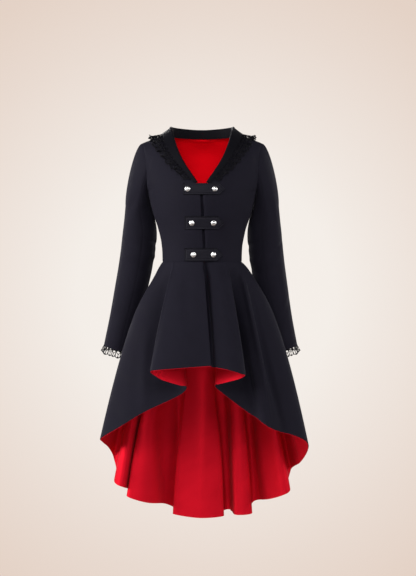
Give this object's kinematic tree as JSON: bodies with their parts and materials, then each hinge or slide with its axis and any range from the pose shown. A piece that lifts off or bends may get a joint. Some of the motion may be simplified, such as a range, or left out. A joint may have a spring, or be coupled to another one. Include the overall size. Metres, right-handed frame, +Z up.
{
  "type": "steampunk coat",
  "caption": "Fitted long-sleeved coat with a lace-edged shawl collar, buttoned tab closings and a full skirt that is short in front and long behind, hollow as if worn.",
  "frame": {"origin": "middle of the neck opening, level with the points where the shoulder seams meet the collar", "axes": "+Z up, -Y the way the coat faces, +X towards the wearer's left"},
  "size_m": [0.6075, 0.4279, 1.1572],
  "materials": {
    "twill": "matt black twill with a faint blue cast",
    "satin": "bright red lining satin with a soft sheen",
    "lace": "open black lace",
    "silver": "polished silver-coloured metal"
  },
  "bodies": {
    "root": {"front_bodice_right": "twill", "front_bodice_left": "twill", "back_bodice": "twill", "lining_bodice_back": "satin", "sleeve_upper_right": "twill", "sleeve_under_right": "twill", "sleeve_upper_left": "twill", "sleeve_under_left": "twill", "lace_cuff_right": "lace", "lace_cuff_left": "lace", "skirt_front_right": "twill", "skirt_back": "twill", "skirt_front_left": "twill", "lining_skirt_front_right": "satin", "lining_skirt_back": "satin", "lining_skirt_front_left": "satin", "collar_right": "twill", "collar_left": "twill", "lace_collar": "lace", "tab_top": "twill", "tab_middle": "twill", "tab_bottom": "twill", "button_top_right": "silver", "button_top_left": "silver", "button_middle_right": "silver", "button_middle_left": "silver", "button_bottom_right": "silver", "button_bottom_left": "silver"}
  },
  "joints": []
}
